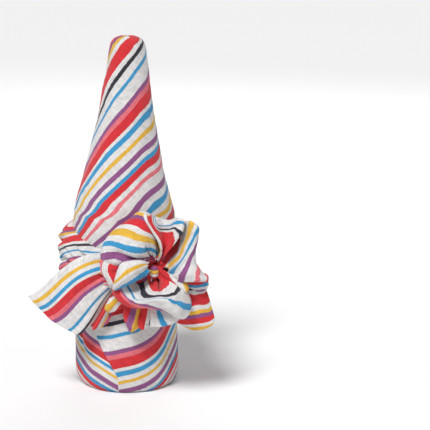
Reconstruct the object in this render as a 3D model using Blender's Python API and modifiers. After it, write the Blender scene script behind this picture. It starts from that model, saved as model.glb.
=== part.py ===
# Furoshiki bottle wrap: one square cotton cloth wound round a tall bottle and tied in front
# in a flower knot. It stands on its wrapped base, +Z up, with the knot towards -Y.
# The cloth is one piece, so the wound body, the knot's loops and the two free ends are one solid.

import math

import bmesh
import bpy
from mathutils import Vector

MM = 0.001

# Driving sizes
HEIGHT = 0.294
BODY_RADIUS = 0.0437
CLOTH = 0.0022  # doubled cloth, as it lies in the loops and free ends
FACES_AROUND = 36

# Wound body: its height and radius as shares of the driving sizes, its middle's lean in mm
BODY_COLUMNS = ("height", "radius", "lean")
BODY_SECTIONS = (
    (0.0, 0.850, 1.0),
    (0.004, 0.915, 1.0),
    (0.015, 0.970, 1.0),
    (0.037, 0.998, 1.0),
    (0.075, 1.0, 0.8),
    (0.153, 0.986, 0.2),
    (0.255, 0.982, -0.6),
    (0.357, 0.982, -1.2),
    (0.442, 0.982, -1.8),
    (0.481, 0.968, -1.9),
    (0.548, 0.890, -1.9),
    (0.619, 0.778, -1.3),
    (0.692, 0.673, -0.6),
    (0.764, 0.563, 0.2),
    (0.835, 0.485, 0.6),
    (0.905, 0.428, 0.5),
    (0.956, 0.380, 0.5),
    (0.981, 0.343, 0.5),
    (0.995, 0.270, 0.5),
    (1.0, 0.170, 0.5),
)
BASE_RINGS = 3
TOP_RINGS = 3

# Rings between base and top: closer together where the sash is gathered
STRETCH_COLUMNS = ("from_height", "to_height", "rings")
RING_STRETCHES = (
    (11.0, 84.0, 6),
    (88.0, 138.0, 13),
    (145.0, 281.0, 13),
)

# Free edge of the outer turn: it winds up the cone, and the cloth lies one layer deeper
# when it has gone once round
EDGE_STEP = 1.8
EDGE_TOP = (-20.0, 286.0)  # degrees from the front, height in mm
EDGE_CLIMB = 0.56  # mm of height for each degree
EDGE_SOFT = 16.0  # degrees
EDGE_FADE = (150.0, 180.0)  # heights between which the step grows

# Tuck in front of the base, a fold that opens upwards from its point
TUCK_STEP = 2.2
TUCK_POINT = (-7.0, 14.0)
TUCK_TOP = (-36.0, 58.0)
TUCK_SOFT = 9.0  # degrees
TUCK_WIDTH = 70.0  # degrees over which the upper layer sinks again
TUCK_FADE = (84.0, 100.0)

# Sash of gathered cloth that the two ends make round the bottle before they are tied
SASH_COLUMNS = ("turn", "middle", "half_height", "bulge")
SASH_SECTIONS = (
    (-180.0, 116.0, 20.0, 7.5),
    (-140.0, 115.0, 21.0, 8.5),
    (-105.0, 114.0, 22.0, 10.0),
    (-80.0, 112.0, 24.0, 11.5),
    (-55.0, 109.0, 21.0, 12.0),
    (-25.0, 107.0, 17.0, 12.0),
    (20.0, 110.0, 17.0, 12.0),
    (55.0, 114.0, 19.0, 12.0),
    (90.0, 116.0, 20.0, 9.5),
    (135.0, 117.0, 20.0, 8.0),
    (180.0, 116.0, 20.0, 7.5),
)
SASH_FOLDS = 3.0
SASH_TWISTS = 1
SASH_FOLD_DEPTH = 1.5

# Knot: its middle, on the plane that lifts are measured from, and its hidden core
KNOT = Vector((0.0245, -0.052, 0.1147))
SIDE_KNOT = KNOT + Vector((0.0084, 0.0, -0.0093))
CURL_KNOT = KNOT + Vector((0.0, -0.014, 0.0))
LEFT_KNOT = Vector((0.0120, -0.0470, 0.1094))
CORE_MIDDLE = KNOT + Vector((0.0, 0.007, -0.001))
CORE_RADII = (0.0125, 0.0115, 0.0125)

# Course of the cloth from the knot outwards. Each point takes a share of its row's reach,
# drop, lift and belly, and an offset in mm towards the front.
COURSE_COLUMNS = ("reach", "drop", "lift", "belly", "offset")
COURSES = {
    "loop": (
        (0.15, 0.0, 0.0, 0.0, 0.0),
        (0.45, 0.0, 0.35, 1.0, 0.0),
        (0.80, 0.0, 0.80, 0.8, 0.0),
        (0.97, 0.0, 1.0, 0.3, 0.0),
        (1.00, 0.0, 1.0, 0.0, -4.5),
        (0.90, 0.0, 0.92, 0.0, -9.0),
        (0.60, 0.0, 0.55, 0.0, -11.0),
        (0.24, 0.0, 0.05, 0.0, -9.5),
    ),
    "lip": (
        (0.20, 0.0, 0.0, 0.0, 0.0),
        (0.55, 0.0, 0.35, 1.0, 0.0),
        (0.86, 0.0, 0.88, 0.4, 0.0),
        (1.00, 0.0, 1.05, 0.0, 0.0),
        (1.00, 0.28, 0.98, 0.0, 0.0),
        (1.00, 0.48, 0.74, 0.0, -1.0),
        (1.00, 0.62, 0.46, 0.0, -2.0),
        (1.00, 0.85, 0.28, 0.0, -3.0),
        (1.00, 1.00, 0.0, 0.0, -6.0),
    ),
    "end": (
        (0.20, 0.0, 0.0, 0.0, 0.0),
        (0.45, 0.0, 0.40, 1.0, 0.0),
        (0.75, 0.0, 0.80, 0.8, 0.0),
        (1.00, 0.0, 1.0, 0.0, 0.0),
    ),
}

# Loops and free ends of the flower knot. A row is one fold line: its direction at the knot and
# at the rim in degrees, its reach, how far its skirt drops past the rim, how far its rim lifts
# and how far its middle bellies, in mm.
FOLD_COLUMNS = ("root_turn", "turn", "reach", "drop", "lift", "belly")
FOLDS = {
    "top_loop": {
        "course": "loop",
        "centre": KNOT,
        "rows": (
            (190, 184, 37.0, 0.0, 3.0, 3.0),
            (173, 171, 42.0, 0.0, 7.0, 8.0),
            (156, 156, 43.5, 0.0, 6.0, 12.0),
            (141, 141, 42.5, 0.0, 3.0, 15.0),
            (121, 121, 41.5, 0.0, 1.0, 16.0),
            (104, 106, 44.5, 0.0, 0.0, 13.0),
            (93, 96, 43.5, 0.0, 3.0, 9.0),
            (84, 89, 38.0, 0.0, 6.0, 5.0),
            (76, 83, 29.0, 0.0, 5.0, 2.0),
        ),
        "steps": (15, 9),
    },
    "crest_loop": {
        "course": "loop",
        "centre": KNOT,
        "rows": (
            (98, 102, 33.0, 0.0, -1.0, 1.0),
            (90, 92, 41.0, 0.0, 3.0, 3.0),
            (80, 81, 40.5, 0.0, 3.0, 6.0),
            (68, 68, 42.5, 0.0, 2.0, 6.0),
            (56, 58, 42.0, 0.0, 4.0, 4.0),
            (44, 50, 37.0, 0.0, 3.0, 1.0),
            (34, 43, 31.0, 0.0, 1.0, 0.0),
        ),
        "steps": (10, 8),
    },
    "side_loop": {
        "course": "loop",
        "centre": SIDE_KNOT,
        "rows": (
            (86, 73, 43.0, 0.0, 0.0, 0.0),
            (76, 68, 48.5, 0.0, 3.0, 0.0),
            (66, 63, 52.0, 0.0, 6.0, 1.0),
            (56, 57, 52.5, 0.0, 7.0, 3.0),
            (46, 51, 47.5, 0.0, 6.0, 5.0),
            (34, 42, 38.0, 0.0, 6.0, 7.0),
            (20, 27, 32.0, 0.0, 8.0, 8.0),
            (6, 10, 32.5, 0.0, 9.0, 7.0),
            (-8, -3, 35.5, 0.0, 8.0, 6.0),
            (-20, -14, 35.5, 0.0, 4.0, 4.0),
            (-32, -25, 29.0, 0.0, 1.0, 2.0),
        ),
        "steps": (14, 8),
    },
    "right_end": {
        "course": "end",
        "centre": KNOT,
        "rows": (
            (-4, -20, 42.0, 0.0, -6.0, 0.0),
            (-14, -28, 50.0, 0.0, -3.0, 2.0),
            (-25, -36, 58.5, 0.0, -2.0, 3.0),
            (-37, -44, 69.5, 0.0, -3.0, 3.0),
            (-50, -51, 69.0, 0.0, -2.0, 5.0),
            (-63, -58, 66.0, 0.0, -4.0, 4.0),
            (-76, -66, 57.0, 0.0, -6.0, 2.0),
            (-88, -74, 46.0, 0.0, -8.0, 0.0),
        ),
        "steps": (12, 6),
    },
    "lower_lip": {
        "course": "lip",
        "centre": KNOT,
        "rows": (
            (-176, -170, 24.0, 7.0, 9.0, 0.0),
            (-162, -156, 26.5, 7.0, 16.0, -3.0),
            (-146, -141, 28.0, 7.0, 22.0, -6.0),
            (-130, -126, 27.5, 8.0, 26.0, -8.0),
            (-114, -110, 26.5, 13.0, 28.0, -9.0),
            (-98, -94, 26.0, 21.0, 28.0, -8.0),
            (-82, -78, 25.0, 22.0, 27.0, -7.0),
            (-66, -62, 25.0, 21.0, 26.0, -6.0),
            (-54, -51, 29.0, 18.0, 23.0, -4.0),
            (-45, -45, 31.0, 12.0, 16.0, -2.0),
            (-37, -40, 29.0, 6.0, 8.0, 0.0),
        ),
        "steps": (16, 10),
    },
    "centre_curl": {
        "course": "loop",
        "centre": CURL_KNOT,
        "rows": (
            (120, 122, 9.0, 0.0, 3.0, 1.0),
            (140, 141, 14.0, 0.0, 6.0, 3.0),
            (158, 157, 20.0, 0.0, 8.0, 4.0),
            (175, 173, 25.5, 0.0, 8.0, 4.0),
            (192, 190, 28.0, 0.0, 6.0, 4.0),
            (208, 205, 31.0, 0.0, 4.0, 3.0),
            (220, 215, 27.0, 0.0, 1.0, 1.0),
        ),
        "steps": (10, 8),
    },
    "left_curl": {
        "course": "loop",
        "centre": KNOT,
        "rows": (
            (160, 165, 37.0, 0.0, 7.0, 2.0),
            (171, 173, 41.5, 0.0, 11.0, 4.0),
            (183, 182, 41.0, 0.0, 13.0, 5.0),
            (196, 194, 38.5, 0.0, 13.0, 5.0),
            (208, 206, 37.0, 0.0, 10.0, 4.0),
            (219, 215, 32.0, 0.0, 6.0, 2.0),
        ),
        "steps": (9, 8),
    },
    "low_curl": {
        "course": "loop",
        "centre": KNOT,
        "rows": (
            (-150, -126, 39.0, 0.0, 1.0, 0.0),
            (-138, -120, 48.0, 0.0, 4.0, 2.0),
            (-126, -114, 53.0, 0.0, 6.0, 3.0),
            (-114, -108, 58.0, 0.0, 6.0, 3.0),
            (-102, -103, 55.0, 0.0, 4.0, 2.0),
            (-90, -98, 46.0, 0.0, 1.0, 0.0),
        ),
        "steps": (8, 8),
    },
    "left_end": {
        "course": "end",
        "centre": LEFT_KNOT,
        "rows": (
            (140, 196.0, 94.0, 0.0, -7.0, 3.0),
            (153, 200.0, 90.5, 0.0, -4.0, 6.0),
            (165, 205.5, 86.5, 0.0, -1.0, 7.0),
            (177, 211.5, 83.0, 0.0, 2.0, 7.0),
            (189, 218.0, 78.5, 0.0, 4.0, 5.0),
            (201, 224.0, 75.0, 0.0, 5.0, 3.0),
            (211, 229.5, 72.5, 0.0, 6.0, 2.0),
            (220, 233.5, 65.0, 0.0, 2.0, -1.0),
            (229, 238.0, 65.0, 0.0, 6.0, 3.0),
            (238, 242.0, 60.0, 0.0, 2.0, 0.0),
            (248, 248.0, 50.0, 0.0, 4.0, 2.0),
        ),
        "steps": (18, 6),
    },
}


def clear_scene():
    for old in list(bpy.data.objects):
        bpy.data.objects.remove(old, do_unlink=True)


def new_collection(name):
    made = bpy.data.collections.new(name)
    bpy.context.scene.collection.children.link(made)
    return made


def along(rows, share):
    """The row at a share of a table's length, on a smooth curve through its rows."""
    place = min(max(share, 0.0), 1.0) * (len(rows) - 1)
    first = min(int(place), len(rows) - 2)
    t = place - first
    p0, p1, p2, p3 = (rows[min(max(first + k, 0), len(rows) - 1)] for k in (-1, 0, 1, 2))
    return [
        0.5 * (2 * b + (c - a) * t + (2 * a - 5 * b + 4 * c - d) * t**2 + (3 * b - a - 3 * c + d) * t**3)
        for a, b, c, d in zip(p0, p1, p2, p3)
    ]


def at_key(rows, key):
    """The row where a table's first column reaches key."""
    for i in range(len(rows) - 1):
        if key <= rows[i + 1][0]:
            part = (key - rows[i][0]) / (rows[i + 1][0] - rows[i][0])
            return along(rows, (i + max(part, 0.0)) / (len(rows) - 1))
    return list(rows[-1])


def ramp(value, start, end):
    """0 before start, 1 past end, and a soft rise between them."""
    t = min(max((value - start) / (end - start), 0.0), 1.0)
    return t * t * (3 - 2 * t)


def edge_depth(turn, height):
    """How deep the cloth lies below the outer turn's free edge, in mm."""
    edge_turn = EDGE_TOP[0] + (height - EDGE_TOP[1]) / EDGE_CLIMB
    past_edge = (turn - edge_turn) % 360
    gone_round = past_edge / 360 + 1 - ramp(past_edge, 0, EDGE_SOFT)
    return EDGE_STEP * min(gone_round, 1.0) * ramp(height, *EDGE_FADE)


def tuck_rise(turn, height):
    """How far the layer to the right of the tuck's fold stands out, in mm."""
    share = (height - TUCK_POINT[1]) / (TUCK_TOP[1] - TUCK_POINT[1])
    fold_turn = TUCK_POINT[0] + share * (TUCK_TOP[0] - TUCK_POINT[0])
    past_fold = turn - fold_turn
    rise = ramp(past_fold, -TUCK_SOFT / 2, TUCK_SOFT / 2) * (1 - ramp(past_fold, TUCK_SOFT, TUCK_WIDTH))
    return TUCK_STEP * rise * ramp(share, 0, 0.5) * (1 - ramp(height, *TUCK_FADE))


def sash_bulge(turn, height):
    """How far the sash stands off the wound body, in mm."""
    _, middle, half_height, bulge = at_key(SASH_SECTIONS, turn)
    across = (height - middle) / half_height
    if abs(across) >= 1:
        return 0.0
    folds = math.cos(across * SASH_FOLDS * math.pi + math.radians(turn) * SASH_TWISTS)
    return math.sqrt(1 - abs(across) ** 3) * (bulge + SASH_FOLD_DEPTH * folds)


def body_point(turn, height):
    """A point on the wound body, turn degrees round from the front, at a height in mm."""
    _, radius, lean = at_key(BODY_SECTIONS, height * MM / HEIGHT)
    relief = sash_bulge(turn, height) + tuck_rise(turn, height) - edge_depth(turn, height)
    wide = radius * BODY_RADIUS + relief * MM
    angle = math.radians(turn)
    return Vector((lean * MM + wide * math.sin(angle), -wide * math.cos(angle), height * MM))


def ring_heights():
    """Heights of the body's rings in mm, from the base up."""
    in_mm = [row[0] * HEIGHT / MM for row in BODY_SECTIONS]
    heights = in_mm[:BASE_RINGS]
    for start, end, rings in RING_STRETCHES:
        heights += [start + (end - start) * i / (rings - 1) for i in range(rings)]
    return heights + in_mm[-TOP_RINGS:]


def mesh_object(name, shape, collection):
    bmesh.ops.recalc_face_normals(shape, faces=shape.faces)
    mesh = bpy.data.meshes.new(name)
    shape.to_mesh(mesh)
    shape.free()
    made = bpy.data.objects.new(name, mesh)
    collection.objects.link(made)
    return made


def make_body(collection):
    """The wound body, filled by the bottle that it hides, flat under its base."""
    shape = bmesh.new()
    rings = [
        [shape.verts.new(body_point(-180 + 360 * i / FACES_AROUND, height)) for i in range(FACES_AROUND)]
        for height in ring_heights()
    ]
    for lower, upper in zip(rings, rings[1:]):
        for i in range(FACES_AROUND):
            j = (i + 1) % FACES_AROUND
            shape.faces.new((lower[i], lower[j], upper[j], upper[i]))
    shape.faces.new(rings[0])
    shape.faces.new(rings[-1])
    return mesh_object("furoshiki_cloth", shape, collection)


def make_core(collection):
    """The hidden middle of the knot, where the loops and ends meet the sash."""
    shape = bmesh.new()
    bmesh.ops.create_uvsphere(shape, u_segments=12, v_segments=8, radius=1.0)
    bmesh.ops.scale(shape, verts=shape.verts, vec=CORE_RADII)
    bmesh.ops.translate(shape, verts=shape.verts, vec=CORE_MIDDLE)
    return mesh_object("knot_core", shape, collection)


def fold_point(fold, u, v):
    """A point of a loop or free end: u goes from row to row, v from the knot outwards."""
    root_turn, turn, reach, drop, lift, belly = along(fold["rows"], u)
    reach_share, drop_share, lift_share, belly_share, offset = along(COURSES[fold["course"]], v)
    angle = math.radians(root_turn + (turn - root_turn) * ramp(reach_share, 0, 1))
    out = reach_share * reach + drop_share * drop
    front = lift_share * lift + belly_share * belly + offset
    return fold["centre"] + MM * Vector((out * math.cos(angle), -front, out * math.sin(angle)))


def make_fold(name, fold, collection):
    """One loop or free end as a sheet of cloth."""
    shape = bmesh.new()
    bmesh.ops.create_grid(shape, x_segments=fold["steps"][0], y_segments=fold["steps"][1], size=0.5)
    for point in shape.verts:
        point.co = fold_point(fold, point.co.x + 0.5, point.co.y + 0.5)
    made = mesh_object(name, shape, collection)
    thick = made.modifiers.new("cloth", "SOLIDIFY")
    thick.thickness = CLOTH
    thick.offset = 0
    return made


def join_into(body, pieces):
    """Fuse the pieces of a collection with the wound body into one solid."""
    union = body.modifiers.new("one_cloth", "BOOLEAN")
    union.operation = "UNION"
    union.operand_type = "COLLECTION"
    union.collection = pieces
    fused = bpy.data.meshes.new_from_object(body.evaluated_get(bpy.context.evaluated_depsgraph_get()))
    body.modifiers.clear()
    body.data = fused
    for piece in list(pieces.objects):
        bpy.data.objects.remove(piece, do_unlink=True)
    bpy.data.collections.remove(pieces)
    fill_pockets(fused)


def fill_pockets(mesh):
    """Keep the outer skin alone, so that the pockets that the folds close in are filled."""
    shape = bmesh.new()
    shape.from_mesh(mesh)
    skin = {max(shape.verts, key=lambda point: point.co.z)}
    to_follow = list(skin)
    while to_follow:
        point = to_follow.pop()
        for edge in point.link_edges:
            other = edge.other_vert(point)
            if other not in skin:
                skin.add(other)
                to_follow.append(other)
    bmesh.ops.delete(shape, geom=[point for point in shape.verts if point not in skin], context="VERTS")
    shape.to_mesh(mesh)
    shape.free()


def cloth_material():
    made = bpy.data.materials.new("striped_cotton")
    made.use_nodes = True
    finish = made.node_tree.nodes["Principled BSDF"]
    finish.inputs["Base Color"].default_value = (0.78, 0.42, 0.42, 1)
    finish.inputs["Roughness"].default_value = 0.9
    finish.inputs["Metallic"].default_value = 0.0
    return made


def main():
    clear_scene()
    wrap = new_collection("furoshiki_wrap")
    joined = new_collection("joined_folds")
    body = make_body(wrap)
    body.data.materials.append(cloth_material())
    make_core(joined)
    for name, fold in FOLDS.items():
        make_fold(name, fold, joined)
    join_into(body, joined)


main()
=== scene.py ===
# Striped cotton furoshiki wound round a tall bottle and tied in a flower knot.
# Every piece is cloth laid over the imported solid, in the same place and size.
import math

import bmesh
import bpy
import numpy as np
from mathutils import Matrix, Vector


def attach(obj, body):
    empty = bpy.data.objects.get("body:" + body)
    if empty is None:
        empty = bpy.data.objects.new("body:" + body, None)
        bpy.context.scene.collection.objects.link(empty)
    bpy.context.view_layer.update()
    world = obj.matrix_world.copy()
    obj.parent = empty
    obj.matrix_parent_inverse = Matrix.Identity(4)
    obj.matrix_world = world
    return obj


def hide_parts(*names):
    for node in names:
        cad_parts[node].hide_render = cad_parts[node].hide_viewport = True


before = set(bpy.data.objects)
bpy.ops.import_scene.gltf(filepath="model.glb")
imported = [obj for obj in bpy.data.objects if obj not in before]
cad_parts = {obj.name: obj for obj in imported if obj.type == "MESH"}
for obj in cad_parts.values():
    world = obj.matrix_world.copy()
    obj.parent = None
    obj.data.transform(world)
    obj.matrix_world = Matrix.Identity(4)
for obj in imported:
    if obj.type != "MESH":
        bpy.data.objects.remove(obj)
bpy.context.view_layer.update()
mm = 0.001
print("frame loaded")


# Camera, at the photograph's height and distance, a little turned
view = {
    "at": (0.0743, -1.40, 0.49),
    "aim": (0.0743, 0.0, 0.1445),
    "lens": 144.2,
    "sensor": 36,
    "roll": 0.8,  # degrees
}

camera = bpy.data.objects.new("camera", bpy.data.cameras.new("camera"))
bpy.context.scene.collection.objects.link(camera)
away = Vector(view["at"]) - Vector(view["aim"])
turned = away.to_track_quat("Z", "Y").to_matrix() @ Matrix.Rotation(math.radians(view["roll"]), 3, "Z")
camera.matrix_world = Matrix.Translation(view["at"]) @ turned.to_4x4()
camera.data.lens = view["lens"]
camera.data.sensor_width = view["sensor"]
bpy.context.scene.camera = camera
bpy.context.scene.view_settings.view_transform = "Standard"  # colours as dyed


# Floor, sky and lamps
room = {
    "floor": (0.88, 0.88, 0.88),
    "floorSize": 24,
    "floorRoughness": 0.9,
    "sky": (1.0, 1.0, 1.0),
    "skyStrength": 0.28,
    "lamps": [  # name, kind, place, size (a sun's in radians), power
        ("windowLight", "SUN", (-0.45, -1.0, 1.6), 0.35, 2.95),
        ("fillLamp", "AREA", (1.1, -0.9, 0.6), 1.2, 1.5),
        ("backLamp", "AREA", (0.2, 1.1, 0.9), 1.0, 4.0),
    ],
    "lampsAimAt": (0, 0, 0.14),
}

world = bpy.data.worlds.new("paleRoom")
world.use_nodes = True
sky = world.node_tree.nodes["Background"]
sky.inputs["Color"].default_value = (*room["sky"], 1)
sky.inputs["Strength"].default_value = room["skyStrength"]
bpy.context.scene.world = world

for name, kind, place, size, power in room["lamps"]:
    lamp = bpy.data.objects.new(name, bpy.data.lights.new(name, kind))
    if kind == "SUN":
        lamp.data.angle = size
    else:
        lamp.data.size = size
    lamp.data.energy = power
    bpy.context.scene.collection.objects.link(lamp)
    facing = (Vector(place) - Vector(room["lampsAimAt"])).to_track_quat("Z", "Y")
    lamp.matrix_world = Matrix.Translation(place) @ facing.to_matrix().to_4x4()

bpy.ops.object.select_all(action="DESELECT")
bpy.ops.mesh.primitive_plane_add(size=room["floorSize"], location=(0, 0, 0))
floor = bpy.context.object
floor.name = "floor"
paper = bpy.data.materials.new("floorPaper")
paper.use_nodes = True
paperFinish = paper.node_tree.nodes["Principled BSDF"]
paperFinish.inputs["Base Color"].default_value = (*room["floor"], 1)
paperFinish.inputs["Roughness"].default_value = room["floorRoughness"]
floor.data.materials.append(paper)
print("room ready")


# Cotton: stripes across u of the threads map, in mm, then the weave
cotton = {
    "colours": {
        "red": (203, 42, 49),
        "pink": (218, 108, 118),
        "purple": (137, 78, 128),
        "blue": (52, 142, 190),
        "yellow": (216, 169, 58),
        "black": (42, 40, 52),
        "white": (214, 212, 211),
    },
    "stripes": [
        ("red", 9.2), ("white", 4.1), ("black", 2.9), ("white", 6.1), ("blue", 2.9), ("white", 8.8),
        ("purple", 3.4), ("pink", 4.1), ("red", 6.8), ("white", 2.7), ("blue", 4.3), ("white", 4.6),
        ("yellow", 3.5), ("white", 5.1), ("purple", 4.5), ("white", 3.1), ("blue", 3.5), ("red", 5.2),
        ("white", 3.7), ("pink", 3.5), ("white", 6.8), ("purple", 4.4), ("white", 4.4), ("blue", 3.9),
        ("white", 3.8), ("yellow", 4.1), ("white", 3.4), ("red", 4.7), ("purple", 3.0), ("yellow", 3.7),
        ("white", 3.8),
    ],
    "ragged": 0.5,  # how far a stripe's edge strays, mm
    "slub": 0.16,  # how much the threads differ in depth of colour
    "weave": 0.62,  # thread spacing, mm
    "raised": 0.25,  # how far the threads stand out, mm
    "bump": 0.55,
    "roughness": 0.88,
    "sheen": 0.12,
    "sheenRoughness": 0.6,
    "specular": 0.25,
}


def linearColour(colour):
    return [((c / 255 + 0.055) / 1.055) ** 2.4 if c > 10 else c / 255 / 12.92 for c in colour] + [1]


def stripedCotton():
    made = bpy.data.materials.new("stripedCotton")
    made.use_nodes = True
    nodes, links = made.node_tree.nodes, made.node_tree.links

    def node(kind, **values):
        new = nodes.new(kind)
        for key, value in values.items():
            setattr(new, key, value)
        return new

    def maths(operation, first, second=None):
        new = node("ShaderNodeMath", operation=operation)
        for socket, source in zip(new.inputs, (first, second)):
            if isinstance(source, (int, float)):
                socket.default_value = source
            elif source is not None:
                links.new(source, socket)
        return new.outputs[0]

    def grain(across, along, detail):  # noise stretched over the threads, spacing in mm
        stretch = node("ShaderNodeCombineXYZ")
        links.new(maths("DIVIDE", stripe, across * mm), stretch.inputs[0])
        links.new(maths("DIVIDE", thread, along * mm), stretch.inputs[1])
        noise = node("ShaderNodeTexNoise", noise_dimensions="2D")
        noise.inputs["Scale"].default_value = 1.0
        noise.inputs["Detail"].default_value = detail
        links.new(stretch.outputs[0], noise.inputs["Vector"])
        return maths("SUBTRACT", noise.outputs["Fac"], 0.5)

    threads = node("ShaderNodeUVMap", uv_map="threads")
    split = node("ShaderNodeSeparateXYZ")
    links.new(threads.outputs[0], split.inputs[0])
    stripe, thread = split.outputs[0], split.outputs[1]

    period = sum(width for _, width in cotton["stripes"])
    strayed = maths("ADD", stripe, maths("MULTIPLY", grain(3, 0.6, 1.0), 2 * cotton["ragged"] * mm))
    share = maths("FRACT", maths("DIVIDE", strayed, period * mm))
    ramp = node("ShaderNodeValToRGB")
    ramp.color_ramp.interpolation = "CONSTANT"
    stops = ramp.color_ramp.elements
    start = 0.0
    for i, (colour, width) in enumerate(cotton["stripes"]):
        stop = stops[i] if i < 2 else stops.new(start / period)
        stop.position = start / period
        stop.color = linearColour(cotton["colours"][colour])
        start += width
    links.new(share, ramp.inputs[0])

    slub = maths("ADD", grain(0.8, 14, 1.0), maths("ADD", grain(12, 0.9, 1.0), grain(3.5, 5, 2.0)))
    depth = maths("ADD", maths("MULTIPLY", slub, 2 * cotton["slub"]), 1.0)
    mottled = node("ShaderNodeMix", data_type="RGBA", blend_type="MULTIPLY")
    mottled.inputs[0].default_value = 1.0
    grey = node("ShaderNodeCombineColor")
    for socket in grey.inputs:
        links.new(depth, socket)
    links.new(ramp.outputs[0], mottled.inputs[6])
    links.new(grey.outputs[0], mottled.inputs[7])

    threadPhase = 2 * math.pi / (cotton["weave"] * mm)
    warp = maths("SINE", maths("MULTIPLY", stripe, threadPhase))
    weft = maths("SINE", maths("MULTIPLY", thread, threadPhase))
    woven = maths("MULTIPLY", maths("MULTIPLY", warp, weft), 0.5)
    raised = maths("ADD", woven, maths("MULTIPLY", slub, 0.5))
    bump = node("ShaderNodeBump")
    bump.inputs["Strength"].default_value = cotton["bump"]
    bump.inputs["Distance"].default_value = cotton["raised"] * mm
    links.new(raised, bump.inputs["Height"])

    finish = nodes["Principled BSDF"]
    finish.inputs["Roughness"].default_value = cotton["roughness"]
    finish.inputs["Sheen Weight"].default_value = cotton["sheen"]
    finish.inputs["Sheen Roughness"].default_value = cotton["sheenRoughness"]
    finish.inputs["Specular IOR Level"].default_value = cotton["specular"]
    links.new(mottled.outputs[2], finish.inputs["Base Color"])
    links.new(bump.outputs[0], finish.inputs["Normal"])
    return made


cottonCloth = stripedCotton()
print("cotton ready")


# Helpers for every piece
def curveThrough(rows, share):  # a smooth curve through a table's rows
    rows = np.asarray(rows, float)
    place = np.clip(share, 0, 1) * (len(rows) - 1)
    first = np.minimum(place.astype(int), len(rows) - 2)
    t = (place - first)[..., None]
    a, b, c, d = (rows[np.clip(first + k, 0, len(rows) - 1)] for k in (-1, 0, 1, 2))
    return 0.5 * (2 * b + (c - a) * t + (2 * a - 5 * b + 4 * c - d) * t**2 + (3 * b - a - 3 * c + d) * t**3)


def curveAt(rows, key):  # the same, where the first column reaches key
    keys = [row[0] for row in rows]
    return curveThrough(rows, np.interp(key, keys, np.linspace(0, 1, len(rows))))


def soften(value, start, end):  # from 0 to 1, gently at both ends
    t = np.clip((value - start) / (end - start), 0, 1)
    return t * t * (3 - 2 * t)


def unevenness(first, second, seed):  # a slow, seeded wave over two lengths in mm, from about -1 to 1
    chance = np.random.default_rng(seed)
    total = 0
    for pitch in (31, 23, 17, 11, 8):
        turn, phase = chance.uniform(0, 2 * math.pi, 2)
        along = first * math.cos(turn) + second * math.sin(turn)
        total = total + np.sin(along * 2 * math.pi / pitch + phase)
    return total / 3


def facings(points):  # unit normals of a grid of points
    across, along = np.gradient(points, axis=0), np.gradient(points, axis=1)
    normal = np.cross(across, along)
    return normal / np.maximum(np.linalg.norm(normal, axis=2, keepdims=True), 1e-12)


def layCloth(name, grids, piece, outwards):
    verts, threads, faces = [], [], []
    laid = 0
    for points, stripe, thread in grids:
        rows, columns = stripe.shape
        verts.append(points.reshape(-1, 3))
        threads.append(np.stack([stripe.ravel(), thread.ravel()], axis=1) * mm)
        corner = (np.arange(rows - 1)[:, None] * columns + np.arange(columns - 1)[None, :]).ravel() + laid
        faces.append(np.stack([corner, corner + 1, corner + columns + 1, corner + columns], axis=1))
        laid += rows * columns
    mesh = bpy.data.meshes.new(name)
    mesh.from_pydata(np.concatenate(verts).tolist(), [], np.concatenate(faces).tolist())
    uvMap = mesh.uv_layers.new(name="threads")
    corners = np.zeros(len(mesh.loops), int)
    mesh.loops.foreach_get("vertex_index", corners)
    uvMap.data.foreach_set("uv", np.concatenate(threads)[corners].ravel())

    shape = bmesh.new()
    shape.from_mesh(mesh)
    bmesh.ops.remove_doubles(shape, verts=shape.verts, dist=0.00001)
    shape.normal_update()
    outward = 0
    for face in shape.faces:
        outward += face.normal.dot(outwards(face.calc_center_median())) * face.calc_area()
    if outward < 0:
        bmesh.ops.reverse_faces(shape, faces=shape.faces)
    shape.to_mesh(mesh)
    shape.free()
    made = bpy.data.objects.new(name, mesh)
    bpy.context.scene.collection.objects.link(made)
    mesh.materials.append(cottonCloth)
    mesh.polygons.foreach_set("use_smooth", [True] * len(mesh.polygons))
    thick = made.modifiers.new("clothThickness", "SOLIDIFY")
    thick.thickness = piece.get("thickness", 0.8) * mm
    thick.offset = piece.get("offset", 0)
    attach(made, "root")
    area = sum(face.area for face in mesh.polygons)
    print(name, "laid,", len(mesh.polygons), "faces, cloth area", round(area, 5))
    return made


# Which way a piece's faces point
def fromAxis(place):
    return Vector((place.x, place.y, 0)).normalized()


def towardsFront(place):
    return Vector((0, -1, 0))


# The wound body that all the cloth lies on: height mm, radius mm, lean of its middle mm
bottleSections = [
    (0.0, 37.15, 1.0), (1.18, 39.99, 1.0), (4.41, 42.39, 1.0), (10.88, 43.61, 1.0), (22.05, 43.7, 0.8),
    (44.98, 43.09, 0.2), (74.97, 42.91, -0.6), (104.96, 42.91, -1.2), (129.95, 42.91, -1.8),
    (141.41, 42.3, -1.9), (161.11, 38.89, -1.9), (181.99, 34.0, -1.3), (203.45, 29.41, -0.6),
    (224.62, 24.6, 0.2), (245.49, 21.19, 0.6), (266.07, 18.7, 0.5), (281.06, 16.61, 0.5),
    (288.41, 14.99, 0.5), (292.53, 11.8, 0.5), (294.0, 7.43, 0.5),
]


bodyRadius = 42  # mm, for lengths measured round the body


def bodySpot(turn, height, relief):  # turn in degrees from the front, lengths in mm
    section = curveAt(bottleSections, height)
    wide = section[..., 1] + relief
    angle = np.radians(turn)
    return mm * np.stack([section[..., 2] + wide * np.sin(angle), -wide * np.cos(angle), height], axis=-1)


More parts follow.
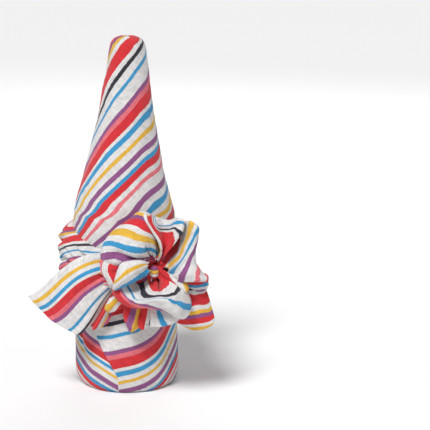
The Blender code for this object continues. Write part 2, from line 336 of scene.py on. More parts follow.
def creaseRelief(creases, turn, height):
    # each crease: turn and height of both ends, width mm, depth mm (below zero is a trough)
    total = np.zeros(np.broadcast(turn, height).shape)
    for turn1, height1, turn2, height2, width, depth in creases:
        across1, across2 = math.radians(turn1) * bodyRadius, math.radians(turn2) * bodyRadius
        runs = np.array([across2 - across1, height2 - height1])
        length = np.hypot(*runs)
        runs = runs / length
        fromStart = np.stack([np.radians(turn) * bodyRadius - across1, height - height1], axis=-1)
        along = fromStart @ runs / length
        aside = fromStart @ np.array([-runs[1], runs[0]])
        ends = soften(along, -0.15, 0.2) * (1 - soften(along, 0.75, 1.1))
        total += depth * np.exp(-((aside / width) ** 2)) * ends
    return total


# Neck wrap: two turns of cloth. The outer turn's free edge climbs from the back to the front.
neckWrap = {
    "edgeTop": (-20, 286),  # turn and height of the free edge's upper end
    "edgeClimb": 0.56,  # mm up for each degree round
    "edgeStep": 1.8,
    "innerSink": 1.1,
    "ripple": 0.22,
    "top": (0.5, 0, 294.1),
    "stripeAnchors": [  # height mm, stripe mm at the front, slant in degrees
        (100.0, 136.0, 41.0), (148.8, 101.0, 42.0), (163.1, 90.25, 43.4), (174.0, 82.15, 44.0),
        (189.6, 70.75, 44.5), (202.0, 61.65, 44.5), (213.5, 53.15, 44.5), (225.5, 44.8, 47.0),
        (238.9, 35.7, 50.0), (257.6, 23.75, 52.0), (271.9, 14.75, 52.0), (288.4, 4.4, 52.0),
        (292.53, 0.5, 52.0), (294.3, -2.5, 52.0),
    ],
    "stripeSag": [  # turn, mm that the stripes hang lower there
        (-180, 9), (-120, 8), (-85, 7), (-57, 3.7), (-30, 0.4), (0, 0), (28, 0.3),
        (40, 1.6), (50, 3.6), (60, 5.8), (75, 8.3), (90, 9.5), (130, 11), (180, 12),
    ],
    "creases": [
        (-80, 150, -20, 196, 5, 0.2), (62, 140, 75, 190, 6, 0.4), (120, 135, 100, 185, 6, -0.6),
        (170, 140, 150, 200, 5, 0.6), (-120, 135, -150, 190, 6, -0.6), (-140, 132, -172, 176, 4, 0.6),
        (100, 132, 84, 160, 4, 0.6), (-60, 210, -10, 246, 4, 0.15), (30, 220, 90, 262, 4, -0.2),
    ],
    "thickness": 0.8,
    "offset": -1,
    "flat": (0.24, 0.20),
    "held": "folded",
    "restsOn": ["sash"],
}


def neckGrid(firstTurn, lastTurn, columns, sink):  # sink is for the inner turn, under the outer one
    shoulder = [288.4, 290.5, 292.0, 293.0, 293.7, 294.0, 294.1]
    heights = np.concatenate([np.linspace(102, 286, 108), shoulder])
    height = np.broadcast_to(heights[:, None], (len(heights), columns))
    part = np.linspace(0, 1, columns)[None, :]
    topTurn, topHeight = neckWrap["edgeTop"]
    edge = np.maximum(topTurn + (heights - topHeight) / neckWrap["edgeClimb"], -178)
    start, end = firstTurn(edge)[:, None], lastTurn(edge)[:, None]
    turn = start + (end - start) * part
    pastEdge = turn - edge[:, None] + (360 if sink else 0)
    depth = neckWrap["edgeStep"] * pastEdge / 360 * soften(height, 150, 180)
    if sink:
        depth = depth + neckWrap["innerSink"] * (1 - soften(turn, -190, -168))
    relief = creaseRelief(neckWrap["creases"], turn, height) - depth
    ripple = unevenness(np.radians(turn) * 30, height, 3) * (1 - soften(height, 270, 290))
    relief = relief + neckWrap["ripple"] * ripple
    section = curveAt(bottleSections, height)
    anchors = curveAt(neckWrap["stripeAnchors"], height)
    slant = np.radians(anchors[..., 2])
    around = section[..., 1] * np.radians(turn)
    points = bodySpot(turn, height, relief)
    points[-1] = mm * np.array(neckWrap["top"])  # the cloth closes over the top
    sag = curveAt(neckWrap["stripeSag"], turn)[..., 1]
    leftShare, rightShare = 1 - soften(height, 232, 262), np.clip(3.1 - height / 100, 0.28, 1.5)
    sag = sag * np.where(turn < 0, leftShare, rightShare)
    stripe = anchors[..., 1] + around * np.sin(slant) - sag
    return points, stripe, around * np.cos(slant) + height * np.sin(slant)


neckOuter = neckGrid(lambda edge: edge, lambda edge: edge * 0 + 190, 175, False)
neckInner = neckGrid(lambda edge: edge * 0 - 190, lambda edge: np.maximum(edge + 28, -180), 90, True)
neck = layCloth("neckWrap", [neckOuter, neckInner], neckWrap, fromAxis)
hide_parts("furoshiki_cloth")


# Base wrap: the cloth gathered up under the bottle, its front fold tucked over to the left
baseWrap = {
    "tuckPoint": (-7, 14),
    "tuckTop": (-36, 58),
    "tuckStep": 2.0,
    "ripple": 0.12,
    "soleStripes": (113.5, 40),  # at the middle of the base, and mm that they differ at its front
    "pleats": 128,  # degrees from the front where the back panel goes under
    "rightStripes": [  # height mm at the front, stripe mm
        (-60, 133), (-36, 109), (0, 73.5), (2.8, 70.75), (11.6, 61.65), (19, 53.15), (24.5, 48.1),
        (39.5, 35.7), (53.5, 23.75), (64, 14.75), (85, -3), (108, -23),
    ],
    "rightRise": [  # turn, mm that the stripes stand higher there
        (-60, -8), (-25, -4.5), (-15, -3), (0, 0), (10, 1.7), (20, 4), (30, 7.2),
        (40, 11.5), (50, 18), (60, 25.5), (70, 31), (80, 35), (90, 38), (130, 50),
    ],
    "leftStripes": [
        (-60, 134), (-30, 105), (0, 75), (3.8, 70.75), (12, 61.65), (17.6, 53.15), (20.8, 48.1),
        (28, 39.45), (40, 27), (60, 8), (108, -34),
    ],
    "leftRise": [
        (-130, 40), (-90, 30), (-80, 28), (-70, 25), (-60, 22), (-50, 18), (-40, 14),
        (-30, 11), (-20, 7.5), (-10, 3.5), (0, 0), (12, -3),
    ],
    "creases": [
        (-66, 64, -50, 22, 2.0, -1.3), (-55, 62, -43, 30, 3, 0.7), (32, 92, 40, 60, 4, 0.5),
        (70, 95, 60, 40, 6, -0.6), (110, 95, 105, 30, 6, 0.8), (150, 95, 160, 20, 5, -1.0),
        (-100, 95, -95, 30, 6, 0.7), (-150, 95, -145, 25, 5, -1.0), (180, 95, 176, 15, 5, 0.9),
    ],
    "thickness": 0.8,
    "offset": -1,
    "flat": (0.24, 0.17),
    "held": "draped",
    "restsOn": ["floor"],
}


def basePanel(columns, fromTurn, toTurn, stripeOf, tucksUnder):  # the turns are of its two edges
    wall = np.concatenate([[0.0, 0.4, 1.2, 2.4, 4.0], np.linspace(6, 106, 80)])
    sole = np.linspace(0, 1, 20)[:-1]  # rings under the base, from its middle out
    heights = np.concatenate([np.zeros(len(sole)), wall])
    spread = np.concatenate([sole, np.ones(len(wall))])[:, None]
    height = np.broadcast_to(heights[:, None], (len(heights), columns))
    part = np.linspace(0, 1, columns)[None, :]
    start, end = fromTurn(heights)[:, None], toTurn(heights)[:, None]
    turn = start + (end - start) * part
    relief = creaseRelief(baseWrap["creases"], (turn + 180) % 360 - 180, height) * soften(height, 2, 14)
    ripple = unevenness(np.radians(turn) * bodyRadius, height, 7) * soften(height, 4, 20)
    relief = relief + baseWrap["ripple"] * ripple
    relief = relief + tucksUnder(turn, height, start, end)
    points = bodySpot(turn, height, relief)
    middle = np.array([1.0, 0, 0]) * mm
    points = middle + (points - middle) * spread[..., None]
    points[..., 2] = height * mm
    soleMiddle, soleFront = baseWrap["soleStripes"]
    underneath = soleMiddle - soleFront * spread * np.cos(np.radians(turn))
    onSole = 1 - soften(spread + 0 * turn, 0.7, 1)
    stripe = stripeOf(turn, height) * (1 - onSole) + underneath * onSole
    return points, stripe, np.radians(turn) * 44 + height


def tuckTurn(heights):
    point, top = baseWrap["tuckPoint"], baseWrap["tuckTop"]
    return point[0] + np.maximum((heights - point[1]) / (top[1] - point[1]), 0) * (top[0] - point[0])


def tuckShare(height):
    return (height - baseWrap["tuckPoint"][1]) / (baseWrap["tuckTop"][1] - baseWrap["tuckPoint"][1])


def rightStripe(turn, height):
    rise = curveAt(baseWrap["rightRise"], turn)[..., 1]
    return curveAt(baseWrap["rightStripes"], height - rise)[..., 1]


def leftStripe(turn, height):
    rise = curveAt(baseWrap["leftRise"], turn)[..., 1]
    return curveAt(baseWrap["leftStripes"], height - rise)[..., 1]


def backStripe(turn, height):
    soleMiddle, soleFront = baseWrap["soleStripes"]
    return soleMiddle - (soleFront + 0.9 * height) * np.cos(np.radians(turn)) + 3 * np.sin(np.radians(turn))


def overTuck(turn, height, start, end):  # the right panel lies over the left one, and over the back
    lifted = soften(tuckShare(height), 0, 0.5) * (1 - soften(height, 84, 100))
    return baseWrap["tuckStep"] * lifted * (1 - soften(turn - start, 10, 70))


def underTuck(turn, height, start, end):
    return -0.9 * soften(tuckShare(height), -0.1, 0.3) * soften(end - turn, 40, 8)


def underPleats(turn, height, start, end):
    sunk = np.maximum(soften(end - turn, 22, 6), soften(turn - start, 22, 6))
    return -1.0 * sunk * soften(height, 8, 30)


def rightPleat(heights):
    return baseWrap["pleats"] + 0 * heights


def leftPleat(heights):
    return -baseWrap["pleats"] + 0 * heights


def backStart(heights):  # the back panel runs on under both pleats
    return rightPleat(heights) - 9 * soften(heights, 8, 20)


def backEnd(heights):
    return 360 + leftPleat(heights) + 9 * soften(heights, 8, 20)


def underTuckTurn(heights):  # and the left one under the tuck
    return tuckTurn(heights) + 24 * soften(heights, 10, 26)


basePanels = [
    basePanel(105, tuckTurn, rightPleat, rightStripe, overTuck),
    basePanel(75, backStart, backEnd, backStripe, underPleats),
    basePanel(95, leftPleat, underTuckTurn, leftStripe, underTuck),
]
layCloth("baseWrap", basePanels, baseWrap, fromAxis)


# Sash: gathered cloth round the bottle, under the knot
sash = {
    "sections": [  # turn, middle mm, half height mm, bulge mm, stripe mm at its top and bottom edge
        (-180, 116, 20, 7.5, -10, 52), (-140, 115, 21, 8.5, -12, 52), (-105, 114, 22, 10, -16, 52),
        (-80, 112, 24, 11.5, -17, 55), (-68, 110.5, 23, 12, -8, 64), (-55, 109, 21, 12, 5, 80),
        (-40, 108, 19, 12, 14, 105), (-25, 107, 17, 12, 20, 110), (20, 110, 17, 12, 18, 100),
        (55, 114, 19, 12, 4, 70), (90, 116, 20, 9.5, -6, 52), (135, 117, 20, 8, -8, 52),
        (180, 116, 20, 7.5, -10, 52),
    ],
    "folds": [(3, 1, 1.5), (5, -1, 1.1), (9, 2, 0.5)],  # folds across, twists round, depth mm
    "thickness": 0.8,
    "offset": -1,
    "flat": (0.32, 0.07),
    "held": "gathered",
    "restsOn": ["baseWrap", "neckWrap"],
}


def sashGrid():
    turn = np.linspace(-180, 180, 241)[None, :]
    across = np.linspace(-1.12, 1.12, 90)[:, None]
    section = curveAt(sash["sections"], turn)
    middle, half, bulge, top, bottom = (section[..., k] for k in range(1, 6))
    height = middle + half * across
    wander = 0.25 * np.sin(np.radians(turn) * 3 + 1.0) + 0.12 * np.sin(np.radians(turn) * 7)
    folds = sum(
        depth * np.cos((across + wander) * count * math.pi + np.radians(turn) * twists)
        for count, twists, depth in sash["folds"]
    )
    edge = np.clip(1 - np.abs(across) ** 3, 0, 1)
    relief = np.sqrt(edge) * (bulge + folds) - 1.5 * soften(np.abs(across), 0.98, 1.12)
    points = bodySpot(turn + 0 * height, height, relief)
    stripe = top + (bottom - top) * (1 - across) / 2
    return points, stripe, np.radians(turn) * 48 + 0 * height


layCloth("sash", [sashGrid()], sash, fromAxis)


# Flower knot. A course says how the cloth runs from the knot outwards: as shares of its row's own
# reach, drop, lift and belly, and an offset in mm towards the front.
courses = {
    "loop": [  # reach, drop, lift, belly, offset
        (0.15, 0, 0, 0, 0), (0.45, 0, 0.35, 1, 0), (0.80, 0, 0.80, 0.8, 0), (0.97, 0, 1, 0.3, 0),
        (1.00, 0, 1, 0, -4.5), (0.90, 0, 0.92, 0, -9), (0.60, 0, 0.55, 0, -11), (0.24, 0, 0.05, 0, -9.5),
    ],
    "lip": [
        (0.20, 0, 0, 0, 0), (0.55, 0, 0.35, 1, 0), (0.86, 0, 0.88, 0.4, 0), (1.00, 0, 1.05, 0, 0),
        (1.00, 0.28, 1.02, 0, 0), (1.00, 0.55, 0.94, 0, 0), (1.00, 0.80, 0.76, 0, 0),
        (1.00, 0.98, 0.48, 0, 0), (1.00, 1.00, 0.1, 0, -3),
    ],
    "end": [(0.20, 0, 0, 0, 0), (0.45, 0, 0.40, 1, 0), (0.75, 0, 0.80, 0.8, 0), (1.00, 0, 1, 0, 0)],
}
knot = np.array([24.5, -52.0, 114.7])  # its middle, mm
stripePlaces = {  # how far along a course its rows' stripes are given, unless a piece has its own stripesAt
    "loop": (0, 0.25, 0.5, 1),
    "end": (0, 0.5, 1),
}


def foldGrid(piece, seed):
    across, along = piece["steps"]
    u = np.linspace(0, 1, across)[:, None] + np.zeros((1, along))
    v = np.linspace(0, 1, along)[None, :] + np.zeros((across, 1))
    row = curveThrough([kept[:6] for kept in piece["rows"]], u)
    course = curveThrough(courses[piece["course"]], v)
    rootTurn, turn, reach, drop, lift, belly = (row[..., k] for k in range(6))
    reachShare, dropShare, liftShare, bellyShare, offset = (course[..., k] for k in range(5))
    angle = np.radians(rootTurn + (turn - rootTurn) * soften(reachShare, 0, 1))
    out = reachShare * reach + dropShare * drop
    front = liftShare * lift + bellyShare * belly + offset
    points = np.stack([out * np.cos(angle), -front, out * np.sin(angle)], axis=-1)
    facing = facings(points)
    if facing[:, : along // 3, 1].mean() > 0:
        facing = -facing
    relief = np.zeros(u.shape)
    for at, width, fromReach, toReach, depth in piece.get("creases", []):
        starts = soften(reachShare, fromReach - 0.12, fromReach + 0.12)
        stops = 1 - soften(reachShare, toReach - 0.15, toReach + 0.1)
        relief += depth * np.exp(-(((u - at) / width) ** 2)) * starts * stops
    count, depth = piece.get("puckers", (6, 0.7))
    wander = 2 * unevenness(u * 40, v * 10, seed)
    relief += depth * np.sin(2 * math.pi * count * u + wander) * (1 - soften(reachShare, 0.25, 0.85))
    relief += piece.get("uneven", 0.3) * unevenness(u * reach, out, seed + 50)
    points = piece.get("centre", knot) + points + facing * relief[..., None]
    stripes = curveThrough([kept[6:] for kept in piece["rows"]], u[:, 0])
    places = piece.get("stripesAt") or stripePlaces[piece["course"]]
    stripe = np.array([np.interp(v[0], places, kept) for kept in stripes])
    thread = out + 0.3 * offset
    if piece.get("hem"):
        points, stripe, thread = hemmed(points, stripe, thread, facing, piece["hem"])
    return points * mm, stripe, thread


def hemmed(points, stripe, thread, facing, columns):  # the last columns turned under, 1 mm behind
    under = points[:, -columns:][:, ::-1] - 1.1 * facing[:, -columns:][:, ::-1]
    outer = points[:, -1:] * 1.5 - points[:, -2:-1] * 0.5 - 0.55 * facing[:, -1:]
    return (
        np.concatenate([points, outer, under], axis=1),
        np.concatenate([stripe, stripe[:, -1:], stripe[:, -columns:][:, ::-1]], axis=1),
        np.concatenate([thread, thread[:, -1:], thread[:, -columns:][:, ::-1]], axis=1),
    )


def layFold(name, piece, seed):
    return layCloth(name, [foldGrid(piece, seed)], piece, towardsFront)


# Every loop and end has rows across it: turn at the knot and at the rim, reach, drop, lift, belly,
# then the stripes along the course in mm, from the knot outwards. A loop's last one is behind it.
# Its creases: place across, width, where along the reach they start and stop, depth in mm.
topLoop = {
    "course": "loop",
    "rows": [
        (190, 184, 37.0, 0, 3, 3, 99, 96, 97, 104), (173, 171, 42.0, 0, 7, 8, 100, 97, 100.5, 112),
        (156, 156, 43.5, 0, 6, 12, 100, 102, 109.5, 120), (141, 141, 42.5, 0, 3, 15, 100, 110, 117.5, 128),
        (121, 121, 41.5, 0, 1, 16, 99.5, 116, 125, 136), (106, 106, 44.5, 0, 0, 13, 100, 122, 133, 144),
        (92, 97, 43.5, 0, 2, 8, 100, 125, 136, 146), (78, 90, 38.0, 0, 0, 3, 101, 126, 135, 145),
        (66, 82, 29.0, 0, -3, -2, 103, 122, 129, 140),
    ],
    "steps": (140, 90),
    "creases": [
        (0.27, 0.05, 0.0, 0.8, -3.0), (0.63, 0.035, -0.1, 0.42, -3.4), (0.46, 0.08, 0.3, 1.0, 0.8),
        (0.14, 0.05, 0.3, 1.0, 0.9), (0.56, 0.04, 0.0, 0.4, 1.4),
    ],
    "puckers": (5, 0.5),
    "flat": (0.085, 0.06),
    "held": "folded",
    "restsOn": ["sash"],
}
layFold("topLoop", topLoop, 11)

crestLoop = {
    "course": "loop",
    "stripesAt": (0, 0.165, 0.265, 0.36, 0.5, 1),
    "rows": [
        (44, 104, 43.0, 0, 1, 4, -7, -5.5, -3.5, -2, -2, -2),
        (45.5, 99, 43.0, 0, 3, 6, -6, -4, -2.5, -1.5, -1.5, 2),
        (47, 95.5, 42.0, 0, 3, 7, -5, -2, 1.5, 2.5, 3, 8),
        (48, 91.5, 41.0, 0, 2.5, 7, -4, 1, 6, 8.5, 10, 18),
        (49, 86, 39.5, 0, 1, 7, -3, 3, 8, 25, 31, 40),
        (50, 78, 38.0, 0, -2, 5, -3, 4, 8, 25, 33, 42),
        (50, 69, 39.5, 0, -1, 3, -3, 5, 8.5, 24, 34, 42),
        (49, 63, 44.0, 0, 2, 3, -3, 5, 9.5, 23, 28, 36),
        (47, 58.5, 44.5, 0, 4, 4, -3, 6, 10.5, 21, 27, 34),
        (45, 54, 43.0, 0, 5, 5, -2, 7, 11, 17.5, 25, 31),
        (43, 51.5, 38.5, 0, 5, 5, -2, 8, 12, 14.5, 18, 24),
        (41, 50, 32.0, 0, 3, 3, -1, 8, 10, 11, 12, 16),
    ],
    "steps": (140, 90),
    "creases": [(0.1, 0.06, 0.0, 1.1, 1.4), (0.48, 0.08, 0.3, 1.0, -1.2), (0.75, 0.06, 0.3, 1.1, 1.0)],
    "puckers": (3, 0.3),
    "flat": (0.06, 0.045),
    "held": "folded",
    "restsOn": ["sash"],
}
layFold("crestLoop", crestLoop, 12)

sideLoop = {
    "course": "loop",
    "centre": knot + np.array([8.4, 0, -9.3]),
    "stripesAt": (0, 0.143, 0.25, 0.36, 0.5, 1),
    "rows": [
        (112, 80, 37.0, 0, -4, -9, 128, 132, 132, 131, 130, 126),
        (100, 73, 44.0, 0, -2, -10, 126, 131.5, 130.5, 128, 127, 123),
        (86, 68, 49.0, 0, 1, -9, 124, 129, 126.5, 124, 122.5, 119),
        (72, 64.5, 51.5, 0, 6, -7, 121, 126, 122.5, 119.6, 117.5, 114),
        (61, 61, 52.0, 0, 7.5, -2, 117, 123, 119.5, 116, 115, 111),
        (52, 56, 50.5, 0, 7, 4, 114.5, 118, 112.5, 110, 109.5, 106),
        (44, 50, 43.5, 0, 6, 6, 113, 111.5, 107, 104, 102.5, 98),
        (33, 42, 34.5, 0, 6, 7, 112, 107, 104, 100.5, 98.5, 95),
        (20, 27, 29.5, 0, 8, 8, 111, 104.5, 100.5, 96, 93.5, 89),
        (8, 11, 31.5, 0, 9, 8, 110, 102.5, 95.5, 90, 87.5, 83),
        (-4, 1, 35.5, 0, 8, 6, 108.5, 99.5, 91, 86.5, 83, 78),
        (-16, -9, 37.5, 0, 3, 1, 92, 84, 82, 79, 76.5, 73),
        (-28, -19, 36.0, 0, 1, 0, 86, 78, 76, 72.5, 70.5, 67),
        (-40, -28, 28.0, 0, -2, -1, 82, 75, 73, 70.5, 69, 64),
    ],
    "steps": (180, 90),
    "creases": [
        (0.5, 0.03, 0.2, 1.0, 0.8), (0.6, 0.03, 0.2, 1.0, -0.8), (0.76, 0.025, 0.0, 1.1, 1.4),
        (0.825, 0.022, 0.0, 1.0, -2.4),
    ],
    "puckers": (6, 0.3),
    "flat": (0.085, 0.06),
    "held": "folded",
    "restsOn": ["sash"],
}
layFold("sideLoop", sideLoop, 13)

rightEnd = {
    "course": "end",
    "centre": knot + np.array([0, 7.0, 0]),
    "rows": [
        (-4, -20, 42.0, 0, 1, 0, 172, 167, 156), (-14, -28, 50.0, 0, 4, 2, 171, 161, 146),
        (-25, -36, 58.5, 0, 5, 3, 169, 154, 134), (-37, -44, 69.5, 0, 4, 3, 166, 144, 120),
        (-50, -51, 69.0, 0, 5, 5, 165, 141, 116), (-63, -58, 66.0, 0, 3, 4, 165, 140, 115),
        (-76, -66, 57.0, 0, 1, 2, 166, 144, 121), (-88, -74, 46.0, 0, -1, 0, 168, 150, 131),
    ],
    "steps": (100, 80),
    "creases": [(0.3, 0.06, 0.2, 0.9, 1.0), (0.6, 0.08, 0.2, 0.9, -1.0)],
    "hem": 5,
    "flat": (0.055, 0.045),
    "held": "draped",
    "restsOn": ["baseWrap"],
}
layFold("rightEnd", rightEnd, 14)

lowerLip = {
    "course": "lip",
    "stripesAt": (0, 0.125, 0.19, 0.33, 0.375, 0.5, 0.75, 1),
    "rows": [
        (-176, -172, 24.0, 5, 9, 0, 30, 34, 38, 48.6, 52, 54, 57, 60),
        (-164, -160, 28.0, 6, 13, -2, 22, 26, 33, 42.8, 46, 47.5, 51, 54),
        (-150, -148, 31.0, 7, 17, -5, 8, 14.7, 22, 37, 42, 43.5, 47.5, 51),
        (-134, -134, 30.5, 8, 20, -7, 8, 14, 19, 34, 39.5, 42.5, 47, 51),
        (-117, -117, 26.5, 9.7, 23, -8, 6, 12.5, 15.7, 21, 32, 39, 44, 46),
        (-97, -97, 21.7, 11, 26, -9, 3, 6, 9.5, 17, 27, 34, 40.5, 43),
        (-81, -81, 20.8, 13.5, 26, -9, 3, 3.5, 6, 16.5, 27, 31, 37, 41),
        (-70, -70, 21.5, 16.5, 26, -8, 3, 4, 6.5, 16.5, 27, 29, 34, 38),
        (-60, -60, 24.0, 24, 26, -6, 3, 5, 8, 17, 26, 27.5, 31, 34),
        (-52, -53, 26.0, 22.5, 24, -4, 2, 6, 9.5, 17, 22, 25.5, 27, 29),
        (-45, -46, 28.0, 17.5, 20, -2, 3, 7, 10.5, 16, 18.5, 22.5, 24, 25),
        (-38, -41, 28.0, 11.5, 14, 0, 3, 8, 11, 15.5, 16.5, 18.5, 20, 21.5),
        (-31, -36, 25.0, 8, 7, 0, -3, 4, 8, 12.5, 14, 16, 18, 20),
    ],
    "steps": (170, 105),
    "creases": [
        (0.33, 0.04, 0.0, 0.7, 1.2), (0.45, 0.03, 0.0, 0.8, -1.6), (0.58, 0.038, 0.1, 0.8, -5.5),
        (0.67, 0.03, 0.0, 0.8, 2.2),
    ],
    "puckers": (5, 0.4),
    "flat": (0.09, 0.062),
    "held": "folded",
    "restsOn": ["sash"],
}
layFold("lowerLip", lowerLip, 15)

underLip = {
    "course": "end",
    "centre": knot + np.array([0, 12.0, 0]),
    "rows": [
        (-108, -102, 44.0, 0, 21, 3, 2, 2, 3), (-100, -95, 46.5, 0, 23, 4, 8, 9, 12.5),
        (-95, -91.5, 48.0, 0, 25, 5, 18, 18, 17), (-86, -84, 48.5, 0, 25, 5, 25, 23.5, 21),
        (-78, -76.5, 48.5, 0, 25, 5, 30, 27.5, 24), (-71, -69.5, 48.5, 0, 25, 5, 33, 31, 28.5),
        (-64, -63, 47.5, 0, 25, 4, 38, 36, 33), (-58, -57, 44.0, 0, 21, 2, 42, 40, 37),
    ],
    "steps": (90, 60),
    "creases": [(0.22, 0.06, 0.4, 1.2, -1.6), (0.55, 0.1, 0.4, 1.2, 0.8)],
    "puckers": (4, 0.2),
    "flat": (0.045, 0.032),
    "held": "folded",
    "restsOn": ["lowerLip"],
}
layFold("underLip", underLip, 22)

rightCrest = {
    "course": "loop",
    "centre": knot + np.array([0.5, -2.0, 2.0]),
    "rows": [
        (-33, -28, 27.0, 0, 3, 0, 4, -2.5, -6.5, -7), (-37, -31, 32.0, 0, 6, 1, 4, -2.5, -6.5, -7.2),
        (-41, -35, 35.0, 0, 7.5, 2, 5, -2, -6, -7.2), (-45, -39, 35.0, 0, 7.5, 2, 5, 0, -5, -7),
        (-49, -44, 32.0, 0, 6, 1, 5, 6, 4, 3), (-53, -49, 27.0, 0, 4, 0, 5, 9, 12, 14),
    ],
    "steps": (70, 70),
    "creases": [(0.5, 0.12, 0.5, 1.1, -0.8)],
    "puckers": (2, 0.3),
    "flat": (0.045, 0.018),
    "held": "folded",
    "restsOn": ["lowerLip"],
}
layFold("rightCrest", rightCrest, 21)

centreCurl = {
    "course": "loop",
    "centre": knot + np.array([0.5, -13.0, 3.5]),
    "rows": [
        (142, 166, 19.0, 0, 0, 1, 71, 70, 70, 74), (148, 175, 25.0, 0, 4, 3, 67, 66.5, 69.3, 74),
        (158, 186, 28.5, 0, 7, 5, 64, 64.5, 68.7, 74), (172, 197, 31.0, 0, 8, 6, 60.5, 61.5, 66, 72),
        (194, 205, 34.5, 0, 8, 6, 57, 57.5, 60, 66), (215, 211, 37.0, 0, 6, 5, 54.5, 55, 56, 58),
        (230, 214, 36.5, 0, 3, 2, 52.5, 52.5, 52.5, 53), (241, 215, 31.0, 0, -1, 0, 51, 51, 50, 50),
    ],
    "steps": (90, 80),
    "creases": [(0.25, 0.07, 0.3, 1.0, -1.2), (0.5, 0.12, 0.1, 0.9, 0.8)],
    "puckers": (2, 0.2),
    "flat": (0.05, 0.04),
    "held": "folded",
    "restsOn": ["lowerLip"],
}
layFold("centreCurl", centreCurl, 16)

leftCurl = {
    "course": "loop",
    "rows": [
        (160, 165, 37.0, 0, 7, 2, 78, 84, 92, 98), (171, 173, 41.5, 0, 11, 4, 77, 83, 92, 98),
        (183, 182, 41.0, 0, 13, 5, 76, 82, 91.5, 98), (196, 194, 38.5, 0, 13, 5, 76, 82, 91, 98),
        (208, 206, 37.0, 0, 10, 4, 76, 82, 89, 96), (219, 215, 32.0, 0, 6, 2, 76, 81, 87, 94),
    ],
    "steps": (80, 90),
    "creases": [(0.45, 0.07, 0.1, 0.9, -1.2), (0.7, 0.06, 0.2, 1.0, 1.0)],
    "flat": (0.065, 0.034),
    "held": "folded",
    "restsOn": ["sash"],
}
layFold("leftCurl", leftCurl, 17)

lowCurl = {
    "course": "loop",
    "rows": [
        (-150, -126, 39.0, 0, 1, 0, 122, 122, 122, 122), (-138, -120, 48.0, 0, 4, 2, 125, 125, 125, 124),
        (-126, -114, 53.0, 0, 6, 3, 128, 128, 128, 127), (-114, -108, 58.0, 0, 6, 3, 131, 131, 131, 130),
        (-102, -103, 55.0, 0, 4, 2, 134, 134, 134, 133), (-90, -98, 46.0, 0, 1, 0, 137, 137, 137, 136),
    ],
    "steps": (80, 90),
    "creases": [(0.35, 0.06, 0.3, 1.0, -1.0), (0.62, 0.06, 0.3, 1.0, 1.0)],
    "flat": (0.08, 0.03),
    "held": "folded",
    "restsOn": ["baseWrap"],
}
layFold("lowCurl", lowCurl, 18)

midFold = {
    "course": "loop",
    "rows": [
        (-146, -143, 40.0, 0, 0, 0, 3, 3, 3, 3), (-142, -139.5, 47.0, 0, 2, 1, -1.5, -1.5, -1.5, -1),
        (-138, -136, 54.0, 0, 3, 2, -5.5, -5.5, -5.5, -4), (-132, -131, 53.0, 0, 2, 1, -3, -2.5, -2.5, -2),
        (-126, -126, 47.0, 0, 1, 0, 2, 2.5, 3, 2), (-120, -121, 42.0, 0, -1, 0, 8, 8, 8, 8),
    ],
    "steps": (80, 80),
    "flat": (0.08, 0.024),
    "held": "folded",
    "restsOn": ["sash"],
}
layFold("midFold", midFold, 23)

lowFold = {
    "course": "loop",
    "rows": [
        (-112, -106, 44.0, 0, 4, 0, 1, 1, 1, 0), (-107, -103, 51.0, 0, 7, 1, 4, 4, 4, 2),
        (-101, -99, 53.0, 0, 8, 2, 8, 8, 8, 6), (-95, -95, 51.0, 0, 7, 1, 12, 12, 12, 10),
        (-89, -91, 45.0, 0, 4, 0, 16, 16, 16, 14),
    ],
    "steps": (60, 80),
    "flat": (0.08, 0.017),
    "held": "folded",
    "restsOn": ["lowCurl"],
}
layFold("lowFold", lowFold, 20)

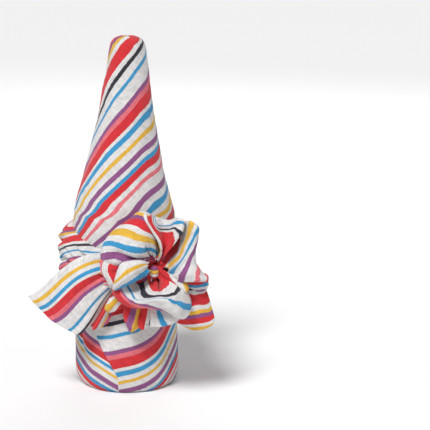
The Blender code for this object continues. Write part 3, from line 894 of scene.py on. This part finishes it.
leftEnd = {
    "course": "end",
    "centre": np.array([12.0, -47.0, 109.4]),
    "rows": [
        (140, 196.0, 94.0, 0, -7, 3, 68, 68, 68), (153, 200.0, 90.5, 0, -4, 6, 62, 62, 61),
        (165, 205.5, 86.5, 0, -1, 7, 55, 51, 49), (177, 211.5, 83.0, 0, 2, 7, 48, 42, 38),
        (189, 218.0, 78.5, 0, 4, 5, 39, 33, 30), (201, 224.0, 75.0, 0, 5, 3, 30, 25, 22),
        (210, 229.0, 72.0, 0, 6, 2, 22, 18, 14.7), (217, 232.0, 61.0, 0, 2, -1, 11, 9.5, 9),
        (223, 234.5, 62.0, 0, 5, 2, 4, 4, 4), (229, 238.0, 58.0, 0, 2, 0, -4, -4, -4),
        (236, 241.5, 51.0, 0, 3, 1, -10, -11, -12),
    ],
    "steps": (160, 90),
    "creases": [
        (0.33, 0.05, 0.2, 0.9, -1.0), (0.48, 0.05, 0.1, 0.8, 1.2), (0.66, 0.03, 0.3, 1.1, -1.6),
        (0.2, 0.06, 0.0, 0.6, 0.8), (0.84, 0.03, 0.3, 1.1, -1.2),
    ],
    "hem": 5,
    "flat": (0.085, 0.06),
    "held": "draped",
    "restsOn": ["sash"],
}
layFold("leftEnd", leftEnd, 19)


# Throat of the knot, where the loops and ends gather, and the lump pinched up in it
knotThroat = {
    "radius": 8.5,
    "depth": 9.0,
    "stripe": 4,
    "lumpMiddle": (1.2, -2.5, -5.5),
    "lumpHalf": (3.4, 5.5, 3.8),  # across, along, forwards, mm
    "lumpStripes": (-4, -1.3),  # at its middle, and for each mm upwards
    "puckers": (7, 0.8),  # how many round the pit, depth mm
    "flat": (0.025, 0.022),
    "held": "gathered",
    "restsOn": ["sash"],
}


def throatGrids():  # a puckered pit, and the lump that stands in it
    turn = np.radians(np.linspace(-180, 180, 97))[:, None]
    share = np.linspace(0.02, 1, 30)[None, :]
    count, depth = knotThroat["puckers"]
    twist = turn + 0.8 * (1 - share)
    front = -knotThroat["depth"] * (1 - share**1.5) - 4 * soften(share, 0.8, 1)
    front = front + depth * np.sin(count * twist) * share
    out = knotThroat["radius"] * share
    pit = np.stack([out * np.cos(twist), -front - 2, out * np.sin(twist)], axis=-1) + knot
    across, along, forwards = knotThroat["lumpHalf"]
    rise = along * np.sin(turn) * share
    bulge = forwards * (1 - share**2) + 0.5 * np.sin(2.2 * rise)
    lump = np.stack([across * np.cos(turn) * share, -bulge, rise], axis=-1)
    lump = lump + knot + knotThroat["lumpMiddle"]
    start, slope = knotThroat["lumpStripes"]
    return [
        (pit * mm, knotThroat["stripe"] + 0 * out + 0 * turn, out + 0 * turn),
        (lump * mm, start + slope * rise, 3 * share + 0 * turn),
    ]


layCloth("knotThroat", throatGrids(), knotThroat, towardsFront)
